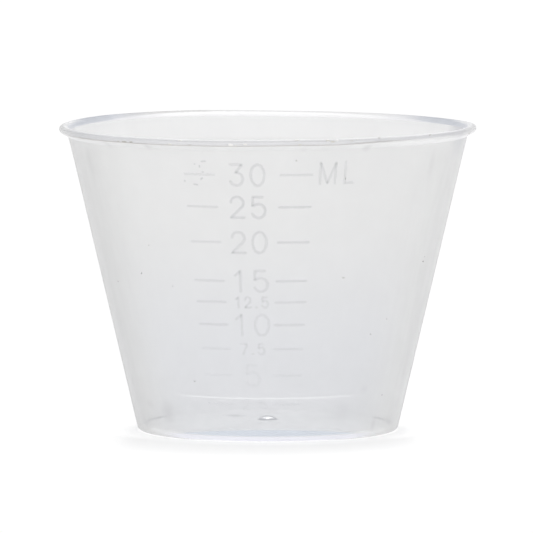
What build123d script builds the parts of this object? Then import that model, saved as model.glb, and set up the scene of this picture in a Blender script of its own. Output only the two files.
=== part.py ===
from build123d import *
from math import cbrt, cos, pi, radians, sin, tan
import os

# A medicine cup for 30 millilitres, moulded in one piece from translucent plastic.
# Lengths are in millimetres and angles in degrees. The cup stands on Z = 0 with its
# axis on Z. Its front, with the scale, faces towards negative Y.

# Body
cup_height = 34.6
base_diameter = 29.3  # where the cone's outer face would meet the table
draft_angle = 13.28  # lean of the wall away from upright
wall_thickness = 0.55  # square to the wall
base_corner_radius = 0.6

# Floor
foot_ring_width = 1.3  # from the base's edge to the recess under the floor
foot_recess = 0.15
floor_thickness = 0.45
floor_corner_bevel = 0.4
rise_height = 0.6  # the floor's middle is pushed up as a low cone
rise_radius = 6
gate_radius = 1.1  # button left at the floor's centre by the mould's gate
gate_height = 0.45

# Stacking ledge, a fine step around the inside
ledge_height = 4.95
ledge_width = 0.1

# Rim
bead_radius = 0.4
bead_overhang = 0.83  # the bead's outermost line, beyond the wall's outer face
bead_underside_slope = 30  # down from the bead to the wall

# Scale
marked_volumes = [2.5, 5, 7.5, 10, 12.5, 15, 20, 25, 30]  # millilitres
scale_angle = -6.0  # the scale's middle, turned from the front towards negative X
bar_end_angle = 19.4  # outer ends of the bars, to either side of the scale's middle
gap_angle = 7.3  # inner ends of the bars, at the table's height
gap_growth = 0.069  # degrees that the gap gains with each millimetre of height
bar_width = 0.28
bar_relief = 0.11
rim_clearance = 1.5  # least height left bare between the scale and the rim's neck

slope = tan(radians(draft_angle))
base_radius = base_diameter / 2
floor_top = foot_recess + floor_thickness
recess_radius = base_radius - foot_ring_width
gate_foot = floor_top + rise_height * (1 - gate_radius / rise_radius)
gate_top = gate_foot + gate_height


def outer_radius(height):
    """Radius of the wall's outer face at a height above the table."""
    return base_radius + slope * height


def inner_radius(height):
    """Radius of the wall's inner face above the stacking ledge."""
    return outer_radius(height) - wall_thickness / cos(radians(draft_angle))


def lower_radius(height):
    """Radius of the wall's inner face below the stacking ledge."""
    return inner_radius(height) - ledge_width


def radius_after(start_radius, millilitres):
    """Inner radius reached by pouring a volume onto a level of the cone."""
    return cbrt(start_radius**3 + 3 * slope * 1000 * millilitres / pi)


def filled_height(millilitres):
    """Height of the surface when the cup holds a volume.

    The cup's inside is two cones, one on each side of the ledge, and a slice of a
    cone holds pi / (3 slope) times the difference of its end radii cubed. The low
    cone on the floor takes its own volume away. The gate button and the bevel at the
    floor are too small to count.
    """
    filled = millilitres + pi * rise_radius**2 * rise_height / 3 / 1000
    below_ledge = pi * (lower_radius(ledge_height) ** 3 - lower_radius(floor_top) ** 3)
    below_ledge = below_ledge / (3 * slope) / 1000
    if filled <= below_ledge:
        reached = radius_after(lower_radius(floor_top), filled)
        return (reached - lower_radius(0)) / slope
    reached = radius_after(inner_radius(ledge_height), filled - below_ledge)
    return (reached - inner_radius(0)) / slope


# The rim's bead is a round edge outside the wall. Inside, an arc that is tangent to
# the wall and level at the top leads into it. Underneath, a slope that is tangent to
# the bead runs down to the neck, where it meets the wall's outer face.
bead_height = cup_height - bead_radius
bead_centre = outer_radius(bead_height) + bead_overhang - bead_radius
flare_lean = 1 / cos(radians(draft_angle)) - slope
flare_radius = (bead_centre - inner_radius(cup_height)) / flare_lean
underside = radians(bead_underside_slope)
underside_radius = bead_centre + bead_radius * sin(underside)
underside_height = bead_height - bead_radius * cos(underside)
underside_overhang = underside_radius - outer_radius(underside_height)
neck_drop = underside_overhang * sin(underside) / (cos(underside) - slope * sin(underside))
neck_height = underside_height - neck_drop


def middle_plane(angle):
    """Upright plane through the axis: X runs outwards at an angle from the front."""
    turn = radians(angle)
    return Plane(
        origin=(0, 0, 0),
        x_dir=(sin(turn), -cos(turn), 0),
        z_dir=(-cos(turn), -sin(turn), 0),
    )


with BuildPart() as cup:
    # Half section of the wall, floor and rim, turned about the axis
    with BuildSketch(Plane.XZ) as section:
        with BuildLine():
            outside = Polyline(
                (0, foot_recess + rise_height),
                (rise_radius, foot_recess),
                (recess_radius - foot_recess, foot_recess),
                (recess_radius, 0),
                (base_radius, 0),
                (outer_radius(neck_height), neck_height),
                (underside_radius, underside_height),
            )
            bead_turn = 180 - bead_underside_slope
            bead = JernArc(outside @ 1, outside % 1, bead_radius, bead_turn)
            flare = JernArc(bead @ 1, bead % 1, flare_radius, 90 - draft_angle)
            Polyline(
                flare @ 1,
                (inner_radius(ledge_height), ledge_height),
                (lower_radius(ledge_height), ledge_height),
                (lower_radius(floor_top), floor_top),
                (rise_radius, floor_top),
                (gate_radius, gate_foot),
            )
            TangentArc((0, gate_top), (gate_radius, gate_foot), tangent=(1, 0))
            Line((0, gate_top), (0, foot_recess + rise_height))
        make_face()
        base_corner = section.vertices().sort_by_distance((base_radius, 0))[0]
        fillet(base_corner, base_corner_radius)
        inside_corner = (lower_radius(floor_top), floor_top)
        floor_corner = section.vertices().sort_by_distance(inside_corner)[0]
        chamfer(floor_corner, floor_corner_bevel)
    revolve(axis=Axis.Z)

    # Raised bars of the scale, a pair at the surface of each volume that the cup
    # holds below its rim
    surfaces = [filled_height(volume) for volume in marked_volumes]
    scale_top = neck_height - rim_clearance
    for mark in [surface for surface in surfaces if surface < scale_top]:
        gap = gap_angle + gap_growth * mark
        for bar_start in (scale_angle - bar_end_angle, scale_angle + gap):
            with BuildSketch(middle_plane(bar_start)):
                with Locations((outer_radius(mark), mark)):
                    Rectangle(2 * bar_relief, bar_width, rotation=-draft_angle)
            revolve(axis=Axis.Z, revolution_arc=bar_end_angle - gap)

cup.part.label = "cup"
os.makedirs("parts", exist_ok=True)
export_step(cup.part, "parts/cup.step")

print("rim diameter", round(2 * (bead_centre + bead_radius), 2))
print("solid volume", round(cup.part.volume, 1), "cubic millimetres")
for volume in marked_volumes:
    print(volume, "millilitres at", round(filled_height(volume), 2))
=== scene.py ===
import math

import bpy
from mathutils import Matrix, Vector


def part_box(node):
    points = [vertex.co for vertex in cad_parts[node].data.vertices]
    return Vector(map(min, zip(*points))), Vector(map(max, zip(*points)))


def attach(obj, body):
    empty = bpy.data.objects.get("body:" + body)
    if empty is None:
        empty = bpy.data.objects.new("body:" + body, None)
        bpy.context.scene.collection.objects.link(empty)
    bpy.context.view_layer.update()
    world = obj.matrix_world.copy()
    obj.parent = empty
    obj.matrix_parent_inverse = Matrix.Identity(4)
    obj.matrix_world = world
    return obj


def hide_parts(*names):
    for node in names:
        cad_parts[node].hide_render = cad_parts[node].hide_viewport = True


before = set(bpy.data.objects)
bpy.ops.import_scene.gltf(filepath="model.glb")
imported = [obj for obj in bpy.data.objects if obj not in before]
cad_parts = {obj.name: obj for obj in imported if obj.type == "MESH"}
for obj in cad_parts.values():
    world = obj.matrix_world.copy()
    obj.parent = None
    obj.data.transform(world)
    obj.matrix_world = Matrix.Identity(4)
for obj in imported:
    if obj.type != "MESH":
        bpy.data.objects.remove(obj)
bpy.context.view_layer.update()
mm = 0.001
refraction = 1.49  # of polypropylene

# The look of a small medicine cup, moulded in one piece from natural polypropylene, on
# a plain white table. Sizes in the dictionaries are in millimetres and degrees. The cup
# stands on z = 0 with its axis on z, and its scale faces towards negative y.


# Node trees are written as sums: a Wire is a node's output that takes + - * / and **
class Wire:
    def __init__(self, tree, node, output=0):
        self.tree = tree
        self.node = node
        self.socket = node.outputs[output]

    def out(self, output):
        return Wire(self.tree, self.node, output)

    def maths(self, operation, *others):
        return self.tree.maths(operation, self, *others)

    def __add__(self, other):
        return self.maths("ADD", other)

    def __radd__(self, other):
        return self.tree.maths("ADD", other, self)

    def __sub__(self, other):
        return self.maths("SUBTRACT", other)

    def __rsub__(self, other):
        return self.tree.maths("SUBTRACT", other, self)

    def __mul__(self, other):
        return self.maths("MULTIPLY", other)

    def __rmul__(self, other):
        return self.tree.maths("MULTIPLY", other, self)

    def __truediv__(self, other):
        return self.maths("DIVIDE", other)

    def __rtruediv__(self, other):
        return self.tree.maths("DIVIDE", other, self)

    def __pow__(self, other):
        return self.maths("POWER", other)


class Tree:
    def __init__(self, nodeTree):
        self.nodeTree = nodeTree

    # one node: its settings first, then the values or wires of its sockets
    def add(self, kind, settings=None, sockets=None, output=0):
        node = self.nodeTree.nodes.new(kind)
        for name, value in (settings or {}).items():
            setattr(node, name, value)
        for key, value in (sockets or {}).items():
            if isinstance(value, Wire):
                self.nodeTree.links.new(value.socket, node.inputs[key])
            else:
                node.inputs[key].default_value = value
        return Wire(self, node, output) if node.outputs else None

    def maths(self, operation, *values):
        return self.add("ShaderNodeMath", {"operation": operation}, dict(enumerate(values)))

    def ramp(self, value, start, end):  # smooth step from 0 at start to 1 at end
        settings = {"interpolation_type": "SMOOTHSTEP"}
        sockets = {"Value": value, "From Min": start, "From Max": end}
        return self.add("ShaderNodeMapRange", settings, sockets)

    def band(self, value, low, high, edge):  # 1 between low and high, with soft edges
        return self.ramp(value, low - edge, low + edge) * self.ramp(value, high + edge, high - edge)

    def blend(self, factor, first, second, kind="MIX"):  # two colours
        settings = {"data_type": "RGBA", "blend_type": kind}
        return self.add("ShaderNodeMix", settings, {0: factor, 6: first, 7: second}, 2)

    def shaders(self, factor, first, second):
        return self.add("ShaderNodeMixShader", {}, {0: factor, 1: first, 2: second})

    def combine(self, x, y, z):
        return self.add("ShaderNodeCombineXYZ", {}, {0: x, 1: y, 2: z})

    def noise(self, vector, scale, detail=2.0, roughness=0.5):
        sockets = {"Vector": vector, "Scale": scale, "Detail": detail, "Roughness": roughness}
        return self.add("ShaderNodeTexNoise", {}, sockets)

    def pointValue(self, name):  # a mesh's own value, as geometry nodes read it
        return self.add("GeometryNodeInputNamedAttribute", {}, {"Name": name})

    def surfaceValue(self, name):  # and as a material reads it
        return self.add("ShaderNodeAttribute", {"attribute_name": name}).out("Fac")


def srgb(red, green, blue):  # a colour as it looks on a screen, 0 to 255
    def linear(level):
        level /= 255
        return level / 12.92 if level <= 0.04045 else ((level + 0.055) / 1.055) ** 2.4

    return (linear(red), linear(green), linear(blue), 1.0)


def grey(level):
    return srgb(level, level, level)


def newMaterial(name):
    material = bpy.data.materials.new(name)
    material.use_nodes = True
    material.node_tree.nodes.clear()
    return material, Tree(material.node_tree)


# Geometry Nodes: a tree with named sizes, and the piece that it grows
socketKinds = {
    float: "NodeSocketFloat",
    int: "NodeSocketInt",
    bpy.types.Material: "NodeSocketMaterial",
}


def geometryTree(name, sizes):
    group = bpy.data.node_groups.new(name, "GeometryNodeTree")
    group.interface.new_socket("Geometry", in_out="INPUT", socket_type="NodeSocketGeometry")
    for label, value in sizes.items():
        group.interface.new_socket(label, in_out="INPUT", socket_type=socketKinds[type(value)])
    group.interface.new_socket("Geometry", in_out="OUTPUT", socket_type="NodeSocketGeometry")
    tree = Tree(group)
    return tree, tree.add("NodeGroupInput")


def finishTree(tree, geometry, inlet):
    geometry = tree.add("GeometryNodeRealizeInstances", {}, {0: geometry})
    sockets = {"Geometry": geometry, "Material": inlet.out("Material")}
    tree.add("NodeGroupOutput", {}, {0: tree.add("GeometryNodeSetMaterial", {}, sockets)})


def growPiece(name, startMesh, tree, sizes, sharpAngle=35):
    piece = bpy.data.objects.new(name, startMesh)
    bpy.context.scene.collection.objects.link(piece)
    modifier = piece.modifiers.new("Shape", "NODES")
    modifier.node_group = tree.nodeTree
    for item in tree.nodeTree.interface.items_tree:
        if item.name in sizes:
            modifier[item.identifier] = sizes[item.name]
    depsgraph = bpy.context.evaluated_depsgraph_get()
    mesh = bpy.data.meshes.new_from_object(piece.evaluated_get(depsgraph))
    piece.modifiers.clear()
    piece.data = mesh
    mesh.shade_smooth()
    mesh.set_sharp_from_angle(angle=math.radians(sharpAngle))
    print(name, "has", len(mesh.polygons), "faces")
    return piece


def looseMesh(name, points, edges, attributes):  # attributes hold a number for each point
    mesh = bpy.data.meshes.new(name)
    mesh.from_pydata(points, edges, [])
    for label, values in attributes.items():
        mesh.attributes.new(label, "FLOAT", "POINT").data.foreach_set("value", values)
    return mesh


def lineMesh(name, strokes, attributes):  # strokes are lists of points, in millimetres
    points, edges = [], []
    for stroke in strokes:
        first = len(points)
        points += [(x * mm, y * mm, z * mm) for x, y, z in stroke]
        edges += [(i, i + 1) for i in range(first, len(points) - 1)]
        if stroke[0] == stroke[-1]:  # a loop
            points.pop()
            edges[-1] = (len(points) - 1, first)
    return looseMesh(name, points, edges, attributes)


# The cup's body
cupSize = {
    "height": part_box("cup")[1].z / mm,
    "rimRadius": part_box("cup")[1].x / mm,
    "baseDiameter": 29.3,  # where the wall's outer face would meet the table
    "draft": 13.28,
    "wall": 0.55,
    "baseCorner": 0.6,
    "footRing": 1.3,
    "recess": 0.15,
    "floor": 0.45,
    "floorCorner": 0.6,
    "riseHeight": 0.6,  # the floor's middle is pushed up as a low cone
    "riseRadius": 6,
    "riseCorner": 2.0,
    "gateRadius": 1.1,
    "gateHeight": 0.45,
    "ledgeHeight": 4.95,
    "ledgeWidth": 0.1,
    "bead": 0.4,
    "undersideSlope": 30,
    "neckHeight": 33.38,
    "neckCorner": 0.25,
    "recessCorner": 0.1,
    "ledgeCorner": 0.04,
    "gateCorner": 0.12,
    "rowSpacing": 3.0,  # rows of faces up the wall
    "rowCount": 10,
    "cornerRow": 1.2,  # the first row of faces beyond each corner
    "recessRow": 0.3,
    "ringRow": 0.25,
    "neckRow": 0.5,
    "flareRow": 2,
    "ledgeRow": 0.2,
    "gateRow": 0.3,
    "domeRows": 8,
}
# where the rim's dips start and are full, as the cosine of the angle from their middles
dipSpread = {"far": (0.5, 0.95), "near": (0.35, 0.85)}
slope = math.tan(math.radians(cupSize["draft"]))


def outerRadius(height):
    return cupSize["baseDiameter"] / 2 + slope * height


def innerRadius(height):
    return outerRadius(height) - cupSize["wall"] / math.cos(math.radians(cupSize["draft"]))


def cupSection(size):  # half the cup cut open: radius, height, corner radius and label
    top, rim, neck = size["height"], size["rimRadius"], size["neckHeight"]
    base = size["baseDiameter"] / 2
    ledge, step = size["ledgeHeight"], size["ledgeWidth"]
    recess = size["recess"]
    ring = base - size["footRing"]
    floorTop = recess + size["floor"]
    rows = [i * size["rowSpacing"] for i in range(1, size["rowCount"] + 1)]
    rise = (rim - outerRadius(neck)) * math.tan(math.radians(size["undersideSlope"]))
    lean = 1 / math.cos(math.radians(size["draft"])) - slope
    flare = (rim - size["bead"] - innerRadius(top)) / lean
    gate, bulge = size["gateRadius"], size["gateHeight"]
    riseSlope = size["riseHeight"] / size["riseRadius"]
    gateFoot = floorTop + size["riseHeight"] - gate * riseSlope
    cornerRow, neckRow, flareRow = size["cornerRow"], neck - size["neckRow"], top - size["flareRow"]
    ledgeRow, gateRow = size["ledgeRow"], size["gateRow"]
    corners = [
        (0, recess + size["riseHeight"], 0),
        (size["riseRadius"], recess, size["riseCorner"]),
        (ring - recess - size["recessRow"], recess, 0),
        (ring - recess, recess, size["recessCorner"]),
        (ring, 0, size["recessCorner"]),
        (ring + size["ringRow"], 0, 0),
        (base, 0, size["baseCorner"], "base"),
        (outerRadius(cornerRow), cornerRow, 0),
    ]
    corners += [(outerRadius(row), row, 0) for row in rows]
    corners += [
        (outerRadius(neckRow), neckRow, 0),
        (outerRadius(neck), neck, size["neckCorner"], "neck"),
        (rim, neck + rise, size["bead"], "beadLow"),
        (rim, top, size["bead"], "beadHigh"),
        (innerRadius(top), top, flare, "flare"),
        (innerRadius(flareRow), flareRow, 0),
    ]
    corners += [(innerRadius(row), row, 0) for row in reversed(rows) if row > ledge]
    corners += [
        (innerRadius(ledge + ledgeRow), ledge + ledgeRow, 0),
        (innerRadius(ledge), ledge, size["ledgeCorner"], "ledge"),
        (innerRadius(ledge) - step, ledge, size["ledgeCorner"]),
        (innerRadius(ledge - ledgeRow) - step, ledge - ledgeRow, 0),
        (innerRadius(floorTop + cornerRow) - step, floorTop + cornerRow, 0),
        (innerRadius(floorTop) - step, floorTop, size["floorCorner"], "floorCorner"),
        (innerRadius(floorTop) - step - cornerRow, floorTop, 0),
        (size["riseRadius"], floorTop, size["riseCorner"]),
        (gate + gateRow, gateFoot - gateRow * riseSlope, 0, "gate"),
    ]
    domeRadius = (gate * gate + bulge * bulge) / (2 * bulge)
    halfTurn = math.asin(gate / domeRadius)
    for i in range(size["domeRows"] + 1):  # the dome that the mould's gate leaves
        turn = halfTurn * (1 - i / size["domeRows"])
        height = gateFoot + bulge - domeRadius * (1 - math.cos(turn))
        corners.append((domeRadius * math.sin(turn), height, 0 if i else size["gateCorner"]))
    return corners


def placesAlong(corners):  # how far along the rounded section each named corner's middle is
    places, travelled = {}, 0.0
    for i, corner in enumerate(corners):
        here = Vector(corner[:2])
        if i:
            travelled += (here - before).length
        if corner[2]:
            turn = (here - before).angle(Vector(corners[i + 1][:2]) - here)
            travelled -= 2 * corner[2] * math.tan(turn / 2) - corner[2] * turn
            middle = travelled + corner[2] * math.tan(turn / 2) - corner[2] * turn / 2
        else:
            middle = travelled
        if len(corner) > 3:
            places[corner[3]] = middle
        before = here
    return places


def cupTree(sizes):  # rounds the section's corners and turns it about the axis
    tree, inlet = geometryTree("Turned cup", sizes)
    line = tree.add("GeometryNodeMeshToCurve", {}, {0: inlet})
    sockets = {
        "Curve": line,
        "Count": inlet.out("Corner steps"),
        "Radius": tree.pointValue("cornerRadius"),
        "Limit Radius": True,
    }
    line = tree.add("GeometryNodeFilletCurve", {"mode": "POLY"}, sockets)
    along = tree.add("GeometryNodeSplineParameter").out("Length") * 1000
    line = tree.add(
        "GeometryNodeStoreNamedAttribute",
        {"data_type": "FLOAT", "domain": "POINT"},
        {"Geometry": line, "Name": "along", "Value": along},
    )
    ring = tree.add(
        "GeometryNodeCurvePrimitiveCircle",
        {},
        {"Resolution": inlet.out("Segments"), "Radius": inlet.out("Ring radius")},
    )
    body = tree.add("GeometryNodeCurveToMesh", {}, {"Curve": ring, "Profile Curve": line})
    body = tree.add("GeometryNodeFlipFaces", {}, {"Mesh": body})
    body = tree.add(
        "GeometryNodeMergeByDistance", {}, {"Geometry": body, "Distance": inlet.out("Weld")}
    )
    # the rim isn't quite even: it dips in by a few hundredths, and down at the far right
    # and the near left
    place = tree.add("GeometryNodeInputPosition")
    split = tree.add("ShaderNodeSeparateXYZ", {}, {0: place})
    atRim = tree.ramp(split.out("Z"), inlet.out("Rim start"), inlet.out("Rim start") + 0.6 * mm)
    wobble = tree.noise(place, inlet.out("Rim noise"), 3.0, 0.6)
    depth = tree.ramp(wobble, 0.5, 0.8) * atRim * inlet.out("Rim unevenness")
    around = split.out("X").maths("ARCTAN2", split.out("Y") * -1)
    farAway = around - inlet.out("Far dip angle")
    nearAway = around - inlet.out("Near dip angle")
    dip = tree.ramp(farAway.maths("COSINE"), *dipSpread["far"]) * inlet.out("Far dip")
    nearDip = tree.ramp(nearAway.maths("COSINE"), *dipSpread["near"]) * inlet.out("Near dip")
    dip = dip + nearDip
    dip = dip * tree.ramp(split.out("Z"), inlet.out("Rim start") - 4 * mm, inlet.out("Rim start"))
    inwards = tree.combine(split.out("X") * -1, split.out("Y") * -1, 0.0)
    inwards = tree.add("ShaderNodeVectorMath", {"operation": "NORMALIZE"}, {0: inwards})
    offset = tree.add(
        "ShaderNodeVectorMath", {"operation": "SCALE"}, {"Vector": inwards, "Scale": depth}
    )
    lower = tree.combine(0.0, 0.0, dip * -1)
    offset = tree.add("ShaderNodeVectorMath", {"operation": "ADD"}, {0: offset, 1: lower})
    body = tree.add("GeometryNodeSetPosition", {}, {"Geometry": body, "Offset": offset})
    finishTree(tree, body, inlet)
    return tree


# Plastic, seen through: part of the light goes straight on, and the rest is scattered
plastic = {
    "upper": grey(228),
    "lower": srgb(224, 225, 228),
    "edge": grey(224),
    # painted light: the edge on the right is lighter, as if more light came from there
    "rightEdgeLit": grey(232),
    "floor": srgb(248, 249, 250),
    # painted light on the back wall's top inside, and painted shade at the right end of the mouth
    "mouth": srgb(254, 254, 255),
    "mouthEndShade": srgb(212, 213, 218),
    # painted shade in the foot's band, and a painted reflection on its rounded edge
    "footBandShade": srgb(214, 220, 229),
    "footRimReflection": srgb(240, 240, 246),
    "bead": srgb(200, 200, 203),
    # the colour of the painted shade lines along the rim
    "rimShadeLine": srgb(192, 190, 188),
    # painted highlight on the flare inside the rim, dimmer at the sides, and the painted shade on
    # it
    "flare": srgb(254, 254, 255),
    "flareSideHighlight": srgb(240, 240, 243),
    "flareShade": srgb(209, 212, 219),
    "backShade": srgb(213, 212, 211),
    # the colour of the painted highlights at the foot, the ledge, the floor's back corner and the
    # gate
    "bright": grey(254),
    # painted shade on the floor's corner at the sides
    "cornerShade": srgb(165, 168, 174),
    # painted shade in a dark ring round the gate's button
    "gateShadeLine": srgb(96, 99, 110),
    "rough": 0.32,
    # the gate's button has a painted glint: a bright colour, made partly metallic
    "glint": 0.25,  # the gate's button mirrors the light that comes in at the mouth
    "opacity": 0.4,
    "edgeOpacity": 0.85,
    "floorOpacity": 0.5,
    # share of the scattered light that comes from behind: where the wall is seen squarely,
    # what is added edge on and by the rim's lines, and the most
    "scatter": 0.5,
    "scatterEdge": 0.8,
    "scatterLines": 0.4,
    "scatterMost": 0.95,
    "grain": 0.15,
    "grainScale": 9000.0,
    "grainDepth": 0.00002,
    "streaks": 0.03,
    "streaksSquare": 0.4,  # how much of them shows squarely, and how much more edge on
    "streaksEdge": 1.6,
    "streakScale": 14.0,
    "streakStretch": 0.012,
    "mottle": 0.02,
    "mottleScale": 420.0,
    "bandHeight": 1.4,  # of the foot's band, and how fast it falls away from the front
    "bandFall": 3.0,
    "beadHalfWidth": 0.34,
    "beadSoft": 0.08,
    "lowLineWidth": 0.2,
    "lowLineSoft": 0.06,
    "lowLineRise": 0.25,  # on the right the lower line runs higher
    # how plainly the rim's parts show at the left, the middle and the right
    "beadShares": (0.8, 0.65, 0.75),
    "lowLineShares": (1.0, 0.85, 0.1),
    "highLineShares": (0.1, 0.25, 0.2),
    "ledgeShare": 0.75,
    "cornerSideShare": 0.9,
    # the shade on the flare: at the right, what it gains at the left, and the shares that
    # its pale ends and its own ends take away
    "shadeShare": 0.35,
    "shadeLeftShare": 0.4,
    "paleEndShare": 0.85,
    "shadeEndShare": 0.5,
    # how much denser the plastic looks there
    "denser": {
        "footBandShade": 0.45,
        "footRimReflection": 0.6,
        "footEdgeHighlight": 0.5,
        "rimShadeLines": 0.6,
        "bead": 0.45,
        "flare": 0.45,
        "ledge": 1.0,
        "cornerSideShade": 0.55,
        "cornerBackHighlight": 1.0,
        "gateShadeLine": 0.7,
        "gateGlint": 0.6,
    },
}
# zones along the cup's section, in millimetres: the corner that they lie by, how far past
# its middle, half width and softness
sectionZones = {
    "footRimReflection": ("base", 0.27, 0.3, 0.06),
    "footEdgeHighlight": ("base", -0.16, 0.18, 0.05),
    "highLine": ("beadHigh", -0.06, 0.13, 0.06),
    "flare": ("flare", -0.15, 0.57, 0.1),
    "ledge": ("ledge", 0.0, 0.13, 0.04),
    "floorCorner": ("floorCorner", 0.2, 0.2, 0.06),
    "gateShadeLine": ("gate", 0.38, 0.08, 0.05),
}
# steps along the section: a corner, and where the step starts and is full, past its middle
sectionSteps = {
    "onFloor": ("floorCorner", -0.1, 0.5),
    "underFloor": ("base", -1.2, -1.5),
    "footBandShade": ("base", 0.54, 0.7),
    "paleEnd": ("flare", 0.0, -0.4),
    "dome": ("gate", 0.24, 0.34),
}
# where each other change starts and is full
fades = {
    # by height in millimetres
    "lowerWall": (26, 8),
    "mouthHeight": (30.6, 31.8),
    "mouthEndHeight": (30.8, 32.0),
    # by distance to the right of the axis, and away from it
    "rightEdgeLit": (8, 16),
    "mouthEndSide": (20.2, 21.6),
    "shadeLeft": (-3.0, -9.0),
    "gateSides": (0.85, 0.65),
    "gateRadius": (0.95, 0.82),
    # by place around the cup, from 1 at the front to -1 at the back
    "mouthBack": (0.1, -0.3),
    "footRimFront": (0.55, 0.78),
    "footEdgeFront": (0.72, 0.93),
    "rimFront": (0.1, 0.5),
    "shadeSides": (-0.82, -0.58),
    "paleEndSides": (-0.45, -0.2),
    "shadeEnds": (-0.35, -0.05),
    "flareSides": (-0.9, -0.7),
    "shadeColour": (-0.85, -0.6),
    "ledgeFront": (0.66, 0.86),
    "cornerBackHighlight": (-0.91, -0.96),
    "cornerSideBack": (-0.66, -0.4),
    "cornerSideFront": (0.5, 0.2),
    # by angle from the front, in radians
    "rimLeft": (-0.35, -0.8),
    "rimRight": (0.5, 0.85),
    "lowLineRise": (0.3, 0.6),
    # by how nearly edge on the surface is seen, up to 1
    "grazing": (0.22, 0.66),
    "shadeGrazing": (0.38, 0.52),
    "gateFacing": (0.7, 0.6),
    "scatter": (0.3, 0.9),
    # by distance from a dark spot's middle, 1 at its edge
    "darkSpot": (1.6, 0.0),
}
# soft darker spots on the wall: degrees from the front, height, half width and half height
# in millimetres, and how much darker
darkSpots = [
    (-51.4, 33.4, 0.5, 0.4, 0.08),
    (-35.7, 33.45, 0.5, 0.35, 0.14),
    (29.0, 33.45, 0.5, 0.4, 0.14),
    (10.1, 33.4, 0.35, 0.25, 0.08),
    (-65.4, 30.9, 0.9, 2.0, 0.08),
    (56.3, 30.9, 0.6, 1.6, 0.08),
    (-47.0, 2.95, 0.9, 1.3, 0.13),
    (-58.5, 3.67, 0.8, 0.5, 0.06),
    (32.4, 3.3, 1.1, 1.3, 0.06),
    (42.1, 5.65, 0.6, 0.5, 0.06),
    (52.0, 1.5, 0.4, 0.8, 0.12),
    (-14.1, 3.06, 1.2, 0.14, 0.14),
]


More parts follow.
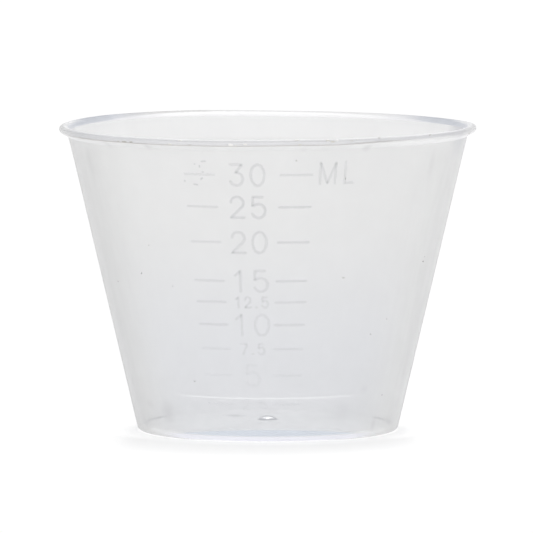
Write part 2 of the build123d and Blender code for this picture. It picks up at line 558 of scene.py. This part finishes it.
def plasticMaterial(name, look, places):
    material, tree = newMaterial(name)
    place = tree.add("ShaderNodeTexCoord").out("Object")
    split = tree.add("ShaderNodeSeparateXYZ", {}, {0: place})
    east, north, height = split.out("X") / mm, split.out("Y") / mm, split.out("Z") / mm
    radius = (east ** 2 + north ** 2) ** 0.5
    front = north * -1 / radius  # 1 at the front, -1 at the back
    turn = east.maths("ARCTAN2", north * -1)
    along = tree.surfaceValue("along")
    facing = tree.add("ShaderNodeLayerWeight", {}, {"Blend": 0.5}).out("Facing")

    def fade(value, label):
        return tree.ramp(value, *fades[label])

    def step(label):
        corner, start, end = sectionSteps[label]
        return tree.ramp(along, places[corner] + start, places[corner] + end)

    def zone(label):
        corner, offset, halfWidth, soft = sectionZones[label]
        middle = places[corner] + offset
        return tree.band(along, middle - halfWidth, middle + halfWidth, soft)

    # the wall: bluer towards the floor, and greyer where it is seen edge on; painted light makes
    # the edge lighter on the right, as if more light came from that side
    colour = tree.blend(fade(height, "lowerWall"), look["upper"], look["lower"])
    flat = step("onFloor").maths("MAXIMUM", step("underFloor"))
    colour = tree.blend(flat, colour, look["floor"])
    grazing = fade(facing, "grazing") * (1 - flat)
    edge = tree.blend(fade(east, "rightEdgeLit"), look["edge"], look["rightEdgeLit"])
    colour = tree.blend(grazing, colour, edge)

    # painted light on the back wall's top, seen through the mouth, and painted shade on the inner
    # wall's top at the right end
    inside = tree.ramp(along, places["beadHigh"], places["flare"])
    mouth = fade(height, "mouthHeight") * fade(front, "mouthBack") * inside
    mouthEndShade = fade(east, "mouthEndSide") * fade(height, "mouthEndHeight") * inside
    colour = tree.blend(mouth, colour, look["mouth"])
    colour = tree.blend(mouthEndShade, colour, look["mouthEndShade"])

    # foot: a blue-grey band of painted shade, where the thick foot bends darker light into view,
    # above a pale rounded edge painted as a reflection of the white table, with a painted highlight
    # along its bottom
    bandTop = places["base"] + look["bandHeight"] - (1 - front) * look["bandFall"]
    footBandShade = step("footBandShade") * tree.ramp(along - bandTop, 0.1, -0.1)
    footRimReflection = zone("footRimReflection") * fade(front, "footRimFront")
    footEdgeHighlight = zone("footEdgeHighlight") * fade(front, "footEdgeFront")
    colour = tree.blend(footBandShade, colour, look["footBandShade"])
    colour = tree.blend(footRimReflection, colour, look["footRimReflection"])
    colour = tree.blend(footEdgeHighlight, colour, look["bright"])

    # rim: a grey bead with dark lines of painted shade along its edges
    def across(left, middle, right):  # a share that changes along the front of the rim
        leftPart = fade(turn, "rimLeft") * (left - middle)
        return fade(turn, "rimRight") * (right - middle) + leftPart + middle

    raised = along - look["lowLineRise"] * fade(turn, "lowLineRise")
    beadMiddle = (places["beadLow"] + places["beadHigh"]) / 2
    beadStart, soft = beadMiddle - look["beadHalfWidth"], look["beadSoft"]
    bead = tree.band(along, beadStart, beadMiddle + look["beadHalfWidth"], soft)
    bead = bead * tree.ramp(raised, beadStart - soft, beadStart + soft)
    lineStart = places["beadLow"] - look["lowLineWidth"]
    lowLine = tree.band(raised, lineStart, places["beadLow"], look["lowLineSoft"])
    lines = lowLine * across(*look["lowLineShares"])
    lines = lines + zone("highLine") * across(*look["highLineShares"])
    rimFront = fade(front, "rimFront")
    bead, lines = bead * across(*look["beadShares"]) * rimFront, lines * rimFront
    colour = tree.blend(bead, colour, look["bead"])
    colour = tree.blend(lines, colour, look["rimShadeLine"])

    # a painted highlight on the flare inside the rim, dimmer at the sides and paler at the ends,
    # with painted shade where it is seen edge on at the back and sides
    paleEnd = fade(front, "paleEndSides") * step("paleEnd")
    shadeShare = look["shadeShare"] + look["shadeLeftShare"] * fade(east, "shadeLeft")
    shadeShare = shadeShare.maths("MAXIMUM", fade(front, "shadeSides"))
    shadeShare = shadeShare * fade(facing, "shadeGrazing") * (1 - look["paleEndShare"] * paleEnd)
    shadeShare = shadeShare * (1 - look["shadeEndShare"] * fade(front, "shadeEnds"))
    sideShare = fade(front, "flareSides") * (1 - paleEnd)
    flareColour = tree.blend(sideShare, look["flare"], look["flareSideHighlight"])
    shadeColour = tree.blend(fade(front, "shadeColour"), look["backShade"], look["flareShade"])
    flareColour = tree.blend(shadeShare, flareColour, shadeColour)
    flare = zone("flare")
    colour = tree.blend(flare, colour, flareColour)

    # painted light and shade: a highlight on the ledge's line, shade on the floor's rounded corner
    # at the sides and a highlight on it at the back, and a glint on the gate's button with a dark
    # shade ring round it
    ledge = zone("ledge") * fade(front, "ledgeFront") * look["ledgeShare"]
    corner = zone("floorCorner")
    cornerBackHighlight = corner * fade(front, "cornerBackHighlight")
    cornerSideShade = corner * fade(front, "cornerSideBack") * fade(front, "cornerSideFront")
    colour = tree.blend(ledge, colour, look["bright"])
    colour = tree.blend(cornerSideShade * look["cornerSideShare"], colour, look["cornerShade"])
    colour = tree.blend(cornerBackHighlight, colour, look["bright"])
    dome = step("dome")
    gateGlint = dome * fade(facing, "gateFacing") * fade(radius, "gateRadius")
    gateGlint = gateGlint * fade(east.maths("ABSOLUTE"), "gateSides")
    gateShadeLine = zone("gateShadeLine").maths("MAXIMUM", dome - gateGlint)
    colour = tree.blend(gateShadeLine, colour, look["gateShadeLine"])
    colour = tree.blend(gateGlint, colour, look["bright"])

    # streaks up the wall, a few soft darker spots, and faint mottling all over
    around = tree.combine(east / radius, north / radius, height * look["streakStretch"])
    streaks = tree.noise(around, look["streakScale"], 3.0, 0.6) - 0.5
    streakShare = look["streaksSquare"] + look["streaksEdge"] * grazing
    darkening = streaks * streakShare * 2 * look["streaks"]
    for degrees, level, halfWidth, halfHeight, depth in darkSpots:
        acrossSpot = (turn - math.radians(degrees)) * radius / halfWidth
        upSpot = (height - level) / halfHeight
        distance = (acrossSpot ** 2 + upSpot ** 2) ** 0.5
        darkening = darkening + fade(distance, "darkSpot") * depth
    mottle = tree.noise(place, look["mottleScale"], 3.0, 0.6) - 0.5
    shade = 1 - darkening * (1 - flat) - mottle * 2 * look["mottle"]
    colour = tree.blend(1.0, colour, tree.combine(shade, shade, shade), "MULTIPLY")

    shares = {
        "footBandShade": footBandShade,
        "footRimReflection": footRimReflection,
        "footEdgeHighlight": footEdgeHighlight,
        "rimShadeLines": lines,
        "bead": bead,
        "flare": flare * (1 - paleEnd),
        "ledge": ledge,
        "cornerSideShade": cornerSideShade,
        "cornerBackHighlight": cornerBackHighlight,
        "gateShadeLine": gateShadeLine,
        "gateGlint": gateGlint,
    }
    opacity = look["opacity"] + (look["edgeOpacity"] - look["opacity"]) * facing ** 3
    opacity = opacity + (look["floorOpacity"] - opacity) * flat
    for label, share in shares.items():
        opacity = opacity + share * look["denser"][label]
    opacity = opacity.maths("MINIMUM", 1.0)

    grain = tree.noise(place, look["grainScale"], 2.0)
    sockets = {"Strength": look["grain"], "Distance": look["grainDepth"], "Height": grain}
    bump = tree.add("ShaderNodeBump", {}, sockets)
    sockets = {"Base Color": colour, "Roughness": look["rough"], "IOR": refraction, "Normal": bump}
    sockets["Metallic"] = gateGlint * look["glint"]
    gloss = tree.add("ShaderNodeBsdfPrincipled", {}, sockets)
    behind = tree.add("ShaderNodeBsdfTranslucent", {}, {"Color": colour})
    scatter = (1 - look["scatter"]) * look["scatterEdge"] * fade(facing, "scatter")
    scatter = look["scatter"] + scatter + lines * look["scatterLines"]
    scatter = scatter.maths("MINIMUM", look["scatterMost"]) * (1 - gateGlint)
    scattered = tree.shaders(scatter, gloss, behind)
    clear = tree.add("ShaderNodeBsdfTransparent")
    surface = tree.shaders(opacity, clear, scattered)
    tree.add("ShaderNodeOutputMaterial", {}, {"Surface": surface})
    return material


section = cupSection(cupSize)
places = placesAlong(section)
print("along the section:", {name: round(place, 2) for name, place in places.items()})
sectionLine = lineMesh(
    "section",
    [[(corner[0] - cupSize["rimRadius"], -corner[1], 0) for corner in section]],
    {"cornerRadius": [corner[2] * mm for corner in section]},
)
cupInputs = {
    "Ring radius": cupSize["rimRadius"] * mm,
    "Segments": 384,
    "Corner steps": 8,
    "Weld": 0.000001,
    "Rim start": 33.4 * mm,
    "Rim noise": 400.0,
    "Rim unevenness": 0.04 * mm,
    "Far dip angle": math.radians(145),
    "Far dip": 0.2 * mm,
    "Near dip angle": math.radians(-60),
    "Near dip": 0.12 * mm,
    "Material": plasticMaterial("clear frosted polypropylene", plastic, places),
}
cupBody = growPiece("cupBody", sectionLine, cupTree(cupInputs), cupInputs)
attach(cupBody, "root")
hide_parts("cup")


# The scale: bars and figures as single raised strokes, drawn flat and wrapped on
scale = {
    "angle": -6.0,  # the scale's middle, from the front towards negative x
    "heights": [4.38, 7.69, 10.71, 13.48, 16.06, 18.47, 22.89, 26.89, 30.54],
    "figures": ["2.5", "5", "7.5", "10", "12.5", "15", "20", "25", "30"],
    # how plainly each bar and figure shows
    "leftBars": [0.085, 0.095, 0.18, 0.26, 0.24, 0.22, 0.22, 0.245, 0.22],
    "rightBars": [0.095, 0.1, 0.18, 0.24, 0.24, 0.28, 0.3, 0.325, 0.245],
    "figureOpacity": [0.055, 0.085, 0.19, 0.19, 0.23, 0.235, 0.25, 0.305, 0.26],
    "unitOpacity": 0.22,
    "barEnd": 19.4,  # degrees to either side of the scale's middle
    "gap": 7.3,
    "gapGrowth": 0.069,
    "barWidth": 0.28,
    "large": {"width": 1.85, "height": 2.7, "advance": 2.37, "stroke": 0.33, "shift": -0.05},
    "small": {
        "width": 0.95, "height": 1.44, "advance": 1.12, "dot": 0.96, "stroke": 0.26, "shift": 0.03,
    },
    "drift": 0.005,  # the figures drift to the right going down, in mm for each mm
    "unit": [("M", 9.07, 2.1), ("L", 11.63, 1.36)],  # middle and width
    "unitLift": 0.17,
    "reliefShare": 0.75,
    "sink": 0.03,
}


def arc(x, y, across, up, start, end, steps=14):  # part of an oval, in a unit cell
    turns = [math.radians(start + (end - start) * i / steps) for i in range(steps + 1)]
    return [(x + across * math.cos(turn), y + up * math.sin(turn)) for turn in turns]


glyphs = {
    "0": arc(0.5, 0.5, 0.5, 0.5, 90, 440, 35) + arc(0.5, 0.5, 0.5, 0.5, 90, 90, 1)[:1],
    "1": [(0.2, 0.78), (0.4, 0.88), (0.57, 1.0), (0.57, 0.0)],
    "2": arc(0.5, 0.7, 0.46, 0.3, 172, -32) + [(0.0, 0.0), (1.0, 0.0)],
    "3": [(0.06, 1.0), (0.94, 1.0), (0.44, 0.6)] + arc(0.49, 0.31, 0.49, 0.31, 82, -158, 18),
    "5": [(0.78, 1.0), (0.1, 1.0), (0.05, 0.56)] + arc(0.5, 0.33, 0.5, 0.33, 128, -154, 20),
    "7": [(0.0, 1.0), (1.0, 1.0), (0.36, 0.0)],
    ".": [(0.48, 0.03), (0.52, 0.03)],
    "M": [(0.0, 0.0), (0.0, 1.0), (0.5, 0.0), (1.0, 1.0), (1.0, 0.0)],
    "L": [(0.0, 1.0), (0.0, 0.0), (1.0, 0.0)],
}


def figureStrokes(text, middle, height, letters):  # one stroke a glyph
    steps = []
    for i, character in enumerate(text[1:]):
        beside = character == "." or text[i] == "."
        steps.append(letters["dot"] if beside else letters["advance"])
    place = middle - sum(steps) / 2
    strokes = []
    for character, step in zip(text, steps + [0]):
        strokes.append(glyphStroke(character, place, height, letters["width"], letters))
        place += step
    return strokes


def glyphStroke(character, middle, height, width, letters):
    across = width - letters["stroke"]
    up = letters["height"] - letters["stroke"]
    line = [
        Vector((middle + (x - 0.5) * across, 0.0, height + (y - 0.5) * up))
        for x, y in glyphs[character]
    ]
    if line[0] != line[-1]:  # the round ends reach half a stroke further
        for end, before in ((0, 1), (-1, -2)):
            line[end] = line[end] + (line[end] - line[before]).normalized() * letters["stroke"] / 2
    return [tuple(point) for point in line]


# faint marks of wear beside the 30: degrees from the front, height, and strokes around
# that point in millimetres
wornMarks = {
    "degrees": -21.0,
    "height": 31.0,
    "stroke": 0.22,
    "opacity": 0.4,
    "lines": [
        [(0.62, 2.0), (0.72, 1.92)],
        [(0.5, 1.0), (1.15, 1.08)],
        [(-0.33, 0.7), (-0.1, 0.68)],
        [(0.33, 0.62), (0.38, 0.28)],
        [(0.55, -0.2), (0.8, -0.15)],
        [(0.3, -1.05), (0.65, -0.85)],
        [(-1.64, -1.12), (-1.6, -1.4)],
        [(-1.07, -1.34), (-1.03, -1.42)],
        [(-0.6, -1.6), (0.0, -1.66)],
    ],
}


def scaleStrokes(size):  # every stroke: points, width, the wall's radius there and opacity
    drawn = []
    for i, (height, text) in enumerate(zip(size["heights"], size["figures"])):
        radius = outerRadius(height)
        inner = math.radians(size["gap"] + size["gapGrowth"] * height) * radius
        outer = math.radians(size["barEnd"]) * radius
        for start, end, opacity in (
            (-outer, -inner, size["leftBars"][i]),
            (inner, outer, size["rightBars"][i]),
        ):
            bar = [(start, 0, height), (end, 0, height)]
            drawn.append((bar, size["barWidth"], radius, opacity))
        letters = size["small"] if "." in text else size["large"]
        middle = letters["shift"] + size["drift"] * (size["heights"][-1] - height)
        for stroke in figureStrokes(text, middle, height, letters):
            drawn.append((stroke, letters["stroke"], radius, size["figureOpacity"][i]))
    for character, middle, width in size["unit"]:
        height = size["heights"][-1] + size["unitLift"]
        stroke = glyphStroke(character, middle, height, width, size["large"])
        drawn.append((stroke, size["large"]["stroke"], radius, size["unitOpacity"]))
    radius = outerRadius(wornMarks["height"])
    turn = math.radians(wornMarks["degrees"] - size["angle"])
    for line in wornMarks["lines"]:
        stroke = [(turn * radius + across, 0, wornMarks["height"] + up) for across, up in line]
        drawn.append((stroke, wornMarks["stroke"], radius, wornMarks["opacity"]))
    return drawn


def markTree(sizes):  # gives each stroke a round body and wraps it on the cone
    tree, inlet = geometryTree("Wrapped strokes", sizes)
    line = tree.add("GeometryNodeMeshToCurve", {}, {0: inlet})
    line = tree.add(
        "GeometryNodeResampleCurve",
        {"mode": "LENGTH"},
        {"Curve": line, "Length": inlet.out("Step")},
    )
    along = tree.add("GeometryNodeSplineParameter").out("Length")
    total = tree.add("GeometryNodeSplineLength")
    half = tree.pointValue("halfWidth")
    fromEnd = along.maths("MINIMUM", total - along)
    share = (fromEnd / half).maths("MINIMUM", 1.0)
    roundEnd = (1 - (1 - share) ** 2).maths("MAXIMUM", 0.0) ** 0.5
    roundEnd = roundEnd.maths("MAXIMUM", tree.add("GeometryNodeInputSplineCyclic"))
    ring = tree.add(
        "GeometryNodeCurvePrimitiveCircle", {}, {"Resolution": inlet.out("Sides"), "Radius": 1.0}
    )
    sockets = {"Curve": line, "Profile Curve": ring, "Scale": half * roundEnd}
    body = tree.add("GeometryNodeCurveToMesh", {}, sockets)
    body = tree.add(
        "GeometryNodeMergeByDistance", {}, {"Geometry": body, "Distance": inlet.out("Weld")}
    )
    split = tree.add("ShaderNodeSeparateXYZ", {}, {0: tree.add("GeometryNodeInputPosition")})
    wall = inlet.out("Base radius") + inlet.out("Slope") * split.out("Z")
    turn = split.out("X") / tree.pointValue("markRadius") + inlet.out("Scale angle")
    reach = wall - split.out("Y") * inlet.out("Relief share") - inlet.out("Sink")
    across, forward = reach * turn.maths("SINE"), reach * turn.maths("COSINE")
    wrapped = tree.combine(across, forward * -1, split.out("Z"))
    body = tree.add("GeometryNodeSetPosition", {}, {"Geometry": body, "Position": wrapped})
    finishTree(tree, body, inlet)
    return tree


marks = {
    "colour": srgb(212, 213, 215),
    "rough": 0.4,
    "scatter": 0.5,
}


def markMaterial(name, look):
    material, tree = newMaterial(name)
    opacity = tree.surfaceValue("opacity")
    sockets = {"Base Color": look["colour"], "Roughness": look["rough"], "IOR": refraction}
    front = tree.add("ShaderNodeBsdfPrincipled", {}, sockets)
    behind = tree.add("ShaderNodeBsdfTranslucent", {}, {"Color": look["colour"]})
    scattered = tree.shaders(look["scatter"], front, behind)
    surface = tree.shaders(opacity, tree.add("ShaderNodeBsdfTransparent"), scattered)
    tree.add("ShaderNodeOutputMaterial", {}, {"Surface": surface})
    return material


drawn = scaleStrokes(scale)
strokeValues = {"halfWidth": [], "markRadius": [], "opacity": []}
for stroke, width, radius, opacity in drawn:
    for label, value in zip(strokeValues, (width * mm / 2, radius * mm, opacity)):
        strokeValues[label] += [value] * len(set(stroke))
strokeLines = lineMesh("strokes", [row[0] for row in drawn], strokeValues)
markInputs = {
    "Base radius": outerRadius(0) * mm,
    "Slope": slope,
    "Scale angle": math.radians(scale["angle"]),
    "Relief share": scale["reliefShare"],
    "Sink": scale["sink"] * mm,
    "Step": 0.05 * mm,
    "Sides": 10,
    "Weld": 0.0000005,
    "Material": markMaterial("raised scale", marks),
}
scaleMarks = growPiece("scaleMarks", strokeLines, markTree(markInputs), markInputs)
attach(scaleMarks, "root")


# Small bits left by moulding and handling: burrs along the rim's parting line, and specks
# on the wall. Each has an angle from the front, a height, a width and a height of its
# own, and the burrs how pale they are
burrs = {
    "rows": [
        (-45.0, 34.05, 0.4, 0.12, 0.2),
        (-42.7, 34.045, 0.8, 0.17, 0.0),
        (-40.2, 34.065, 0.5, 0.15, 0.0),
        (-27.4, 34.04, 0.45, 0.16, 0.1),
        (-24.4, 34.48, 0.5, 0.16, 0.5),
        (-21.5, 34.04, 0.45, 0.12, 0.2),
        (-10.0, 34.09, 0.6, 0.22, 0.55),
        (-8.6, 33.99, 0.3, 0.12, 0.1),
        (-6.1, 34.15, 0.45, 0.16, 0.3),
        (7.9, 34.54, 0.6, 0.14, 0.3),
        (8.7, 34.07, 0.4, 0.16, 0.1),
        (16.4, 34.45, 0.5, 0.2, 0.2),
        (17.8, 34.31, 0.5, 0.2, 0.0),
        (19.0, 34.43, 0.5, 0.2, 0.6),
        (23.3, 34.34, 0.5, 0.16, 0.35),
        (25.0, 34.5, 0.4, 0.14, 0.5),
        (31.9, 34.54, 0.35, 0.14, 0.2),
        (50.5, 34.5, 0.4, 0.12, 0.1),
        (74.0, 34.0, 0.5, 0.16, 0.3),
        (118.0, 33.95, 0.4, 0.14, 0.6),
        (163.0, 33.95, 0.5, 0.16, 0.2),
        (-148.0, 34.0, 0.4, 0.14, 0.5),
        (-96.0, 33.95, 0.5, 0.16, 0.1),
    ],
    "growth": 1.0,
    "depth": 0.12,
    "unevenness": 0.04,
    "lift": 0.03,
    "pale": grey(255),
    "patch": srgb(212, 210, 202),
    "dark": srgb(174, 172, 166),
    "patchScale": 260.0,
    "rough": 0.4,
    "opacity": 0.75,
}
specks = {
    "rows": [
        (8.2, 32.2, 0.16, 0.16),
        (23.4, 30.09, 0.14, 0.3),
        (64.3, 19.82, 0.3, 0.2),
        (64.8, 20.3, 0.16, 0.12),
        (26.2, 18.74, 0.3, 0.14),
        (54.3, 4.82, 0.18, 0.14),
        (48.0, 13.67, 0.16, 0.16),
        (41.0, 12.05, 0.18, 0.16),
        (-42.0, 22.17, 0.16, 0.14),
        (-47.6, 18.92, 0.16, 0.3),
        (-63.4, 17.57, 0.2, 0.24),
        (-34.4, 17.65, 0.14, 0.16),
        (-30.2, 6.85, 0.2, 0.12),
        (132.0, 25.4, 0.16, 0.14),
        (-118.0, 11.8, 0.18, 0.16),
        (171.0, 15.2, 0.14, 0.2),
    ],
    "growth": 1.3,
    "depth": 0.03,
    "unevenness": 0.02,
    "pale": grey(255),
    "patch": srgb(170, 166, 160),
    "dark": srgb(128, 124, 120),
    "patchScale": 400.0,
    "rough": 0.7,
    "opacity": 0.32,
}


def bitTree(sizes):  # a rough flattened grain at each point, facing outwards
    tree, inlet = geometryTree("Scattered grains", sizes)
    place = tree.add("GeometryNodeInputPosition")
    outwards = tree.add("ShaderNodeVectorMath", {"operation": "MULTIPLY"}, {0: place, 1: (1, 1, 0)})
    rotation = tree.add(
        "FunctionNodeAlignRotationToVector", {"axis": "Y"}, {"Vector": outwards}
    )
    grain = tree.add(
        "GeometryNodeMeshIcoSphere", {}, {"Radius": 0.5, "Subdivisions": inlet.out("Fineness")}
    )
    extent = tree.combine(tree.pointValue("wide"), inlet.out("Depth"), tree.pointValue("high"))
    sockets = {"Points": inlet, "Instance": grain, "Rotation": rotation, "Scale": extent}
    grains = tree.add("GeometryNodeInstanceOnPoints", {}, sockets)
    grains = tree.add("GeometryNodeRealizeInstances", {}, {0: grains})
    rough = tree.noise(place, inlet.out("Noise scale"), 2.0) - 0.5
    normal = tree.add("GeometryNodeInputNormal")
    sockets = {"Vector": normal, "Scale": rough * inlet.out("Unevenness")}
    offset = tree.add("ShaderNodeVectorMath", {"operation": "SCALE"}, sockets)
    grains = tree.add("GeometryNodeSetPosition", {}, {"Geometry": grains, "Offset": offset})
    finishTree(tree, grains, inlet)
    return tree


def beadPlace(degrees, height):  # on the bead's surface: distance from the axis and height
    bead = cupSize["bead"]
    up = height - cupSize["height"] + bead
    reach = cupSize["rimRadius"] - bead + (bead * bead - up * up) ** 0.5 + burrs["lift"]
    towards = math.cos(math.radians(degrees) - cupInputs["Near dip angle"])
    start, full = dipSpread["near"]
    share = min(max((towards - start) / (full - start), 0), 1)
    return reach, height - cupInputs["Near dip"] / mm * share * share * (3 - 2 * share)


def wallPlace(degrees, height):
    return outerRadius(height), height


def grainPoints(name, size, placeOf):
    points, values = [], {"wide": [], "high": [], "pale": []}
    for degrees, height, wide, high, *pale in size["rows"]:
        turn = math.radians(degrees)
        radius, level = placeOf(degrees, height)
        points.append((radius * math.sin(turn) * mm, -radius * math.cos(turn) * mm, level * mm))
        values["wide"].append(wide * size["growth"] * mm)
        values["high"].append(high * size["growth"] * mm)
        values["pale"].append(pale[0] if pale else 0.0)
    return looseMesh(name, points, [], values)


def grainMaterial(name, look):
    material, tree = newMaterial(name)
    place = tree.add("ShaderNodeTexCoord").out("Object")
    patches = tree.ramp(tree.noise(place, look["patchScale"], 2.0), 0.42, 0.58)
    colour = tree.blend(patches, look["patch"], look["dark"])
    colour = tree.blend(tree.surfaceValue("pale"), colour, look["pale"])
    sockets = {"Base Color": colour, "Roughness": look["rough"], "IOR": refraction}
    surface = tree.add("ShaderNodeBsdfPrincipled", {}, sockets)
    clear = tree.add("ShaderNodeBsdfTransparent")
    surface = tree.shaders(look["opacity"], clear, surface)
    tree.add("ShaderNodeOutputMaterial", {}, {"Surface": surface})
    return material


for name, size, placeOf in (
    ("rimBurrs", burrs, beadPlace),
    ("wallSpecks", specks, wallPlace),
):
    grainInputs = {
        "Depth": size["depth"] * mm,
        "Fineness": 3,
        "Noise scale": 9000.0,
        "Unevenness": size["unevenness"] * mm,
        "Material": grainMaterial(name, size),
    }
    points = grainPoints(name, size, placeOf)
    grains = growPiece(name, points, bitTree(grainInputs), grainInputs)
    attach(grains, "root")


# Table, light and camera
stage = {
    "table": grey(246),
    # the colour of the painted shadow in front of the cup
    "shadow": grey(233),
    "glow": 1.02,
    # where each change starts and is full, in metres
    "farAway": (0.03, 0.2),
    "underFloor": (0.0149, 0.0145),
    "behind": (-0.002, 0.012),
    "besideBack": (-0.012, -0.004),
    "besideSides": (0.0145, 0.0185),
    "besideStart": (0.0155, 0.0175),
    "shadowLeast": 0.4,  # by the cup's foot
    "shadowStart": (0.015, 0.019),
    "shadowEnd": (0.048, 0.016),
    "shadowFront": (0.0, -0.012),
    "studioLight": 0.97,
}


def seenPlainly(tree):  # the camera's rays, and 1 for those that show it or its reflection
    path = tree.add("ShaderNodeLightPath")
    camera = path.out("Is Camera Ray")
    seen = camera + path.out("Is Glossy Ray") + path.out("Is Transmission Ray")
    return camera, seen.maths("MINIMUM", 1.0)


def tableMaterial(look):
    material, tree = newMaterial("white table")
    camera, seen = seenPlainly(tree)
    place = tree.add("ShaderNodeTexCoord").out("Object")
    distance = tree.add("ShaderNodeVectorMath", {"operation": "LENGTH"}, {0: place}).out("Value")
    split = tree.add("ShaderNodeSeparateXYZ", {}, {0: place})
    north = split.out("Y")
    aside = split.out("X").maths("ABSOLUTE")
    # white far away, behind the cup and through its clear floor; to the camera also
    # beside it, which paints out the shadow there, so that a soft shadow is left in front
    beside = tree.ramp(north, *look["besideBack"])
    beside = beside.maths("MAXIMUM", tree.ramp(aside, *look["besideSides"]))
    beside = tree.ramp(distance, *look["besideStart"]) * beside * camera
    white = tree.ramp(distance, *look["farAway"]) + tree.ramp(distance, *look["underFloor"])
    white = (white + tree.ramp(north, *look["behind"]) + beside).maths("MINIMUM", 1.0)
    # a painted shadow in front of the cup: to the camera, the table darkens there over its real
    # shadow
    paintedShadow = tree.ramp(distance, *look["shadowEnd"]) * tree.ramp(north, *look["shadowFront"])
    outside = tree.ramp(distance, *look["shadowStart"])
    paintedShadow = paintedShadow * (look["shadowLeast"] + (1 - look["shadowLeast"]) * outside)
    tableColour = tree.blend(paintedShadow * camera, look["table"], look["shadow"])
    matt = tree.add("ShaderNodeBsdfDiffuse", {}, {"Color": tableColour})
    bright = tree.add("ShaderNodeEmission", {}, {"Strength": look["glow"]})
    surface = tree.shaders(seen * white, matt, bright)
    tree.add("ShaderNodeOutputMaterial", {}, {"Surface": surface})
    return material


bpy.ops.mesh.primitive_plane_add(size=4, location=(0, 0, -0.00001))
table = bpy.context.object
table.name = "table"
table.data.materials.append(tableMaterial(stage))

studio = bpy.data.worlds.new("studio")
studio.use_nodes = True
studio.node_tree.nodes.clear()
studioTree = Tree(studio.node_tree)
studioSeen = seenPlainly(studioTree)[1]  # pure white to look at, a little less as light
strength = stage["studioLight"] + studioSeen * (1 - stage["studioLight"])
sockets = {"Color": grey(255), "Strength": strength}
studioWhite = studioTree.add("ShaderNodeBackground", {}, sockets)
studioTree.add("ShaderNodeOutputWorld", {}, {"Surface": studioWhite})
bpy.context.scene.world = studio

lampAim = Vector((0, 0, 0.017))
lamps = [
    # name, place, size and watts
    ("back lamp", (0.05, 0.3, 0.85), 0.6, 3.25),
    ("front lamp", (-0.1, -0.75, 0.6), 0.8, 2.17),
]
for name, place, size, watts in lamps:
    light = bpy.data.lights.new(name, "AREA")
    light.shape = "DISK"
    light.size = size
    light.energy = watts
    lamp = bpy.data.objects.new(name, light)
    lamp.location = place
    lamp.rotation_euler = (lampAim - Vector(place)).to_track_quat("-Z", "Y").to_euler()
    bpy.context.scene.collection.objects.link(lamp)

photo = {"aim": (-0.146, 0.0, 18.46), "distance": 1200.0, "elevation": 5.04, "lens": 717.2}
cameraData = bpy.data.cameras.new("camera")
cameraData.lens = photo["lens"]
cameraData.sensor_width = 36.0
camera = bpy.data.objects.new("camera", cameraData)
lift = math.radians(photo["elevation"])
aim = Vector(photo["aim"]) * mm
camera.location = aim + Vector((0, -math.cos(lift), math.sin(lift))) * photo["distance"] * mm
camera.rotation_euler = (math.radians(90 - photo["elevation"]), 0, 0)
bpy.context.scene.collection.objects.link(camera)
bpy.context.scene.camera = camera
bpy.context.scene.view_settings.view_transform = "Standard"

bpy.context.view_layer.update()
